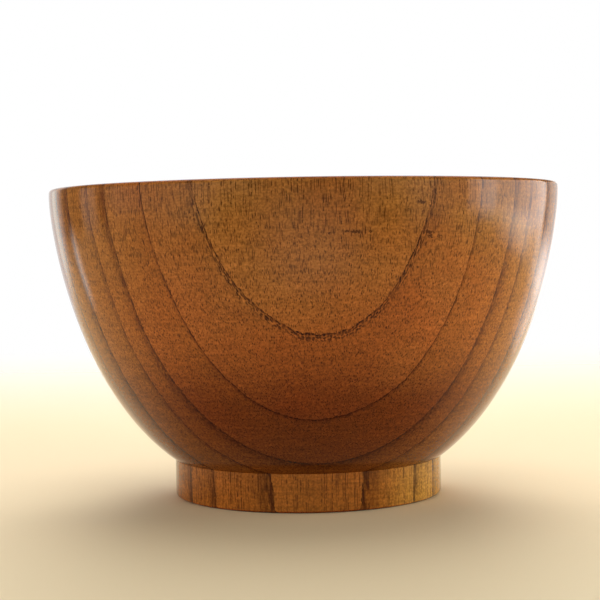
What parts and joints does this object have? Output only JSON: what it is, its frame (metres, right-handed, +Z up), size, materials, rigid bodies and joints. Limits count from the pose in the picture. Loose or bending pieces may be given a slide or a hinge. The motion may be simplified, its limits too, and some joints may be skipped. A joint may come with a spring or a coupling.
{
  "type": "wooden bowl",
  "caption": "Turned wooden soup bowl with a deep rounded wall, a thin rounded lip and a short straight foot ring, finished in a clear satin lacquer.",
  "frame": {"origin": "middle of the foot ring's underside, on the surface that the bowl stands on", "axes": "+Z up along the bowl's turning axis; -Y is the side that the picture shows"},
  "size_m": [0.115, 0.115, 0.0695],
  "materials": {
    "bowl_wood": "orange-brown hardwood with upright grain, growth rings and fine dark pores, under a clear satin to glossy lacquer",
    "foot_wood": "the same hardwood, slightly lighter, with upright pore lines on its straight side, under the same clear lacquer"
  },
  "bodies": {
    "root": {"bowl_body": "bowl_wood", "foot_ring": "foot_wood"}
  },
  "joints": []
}
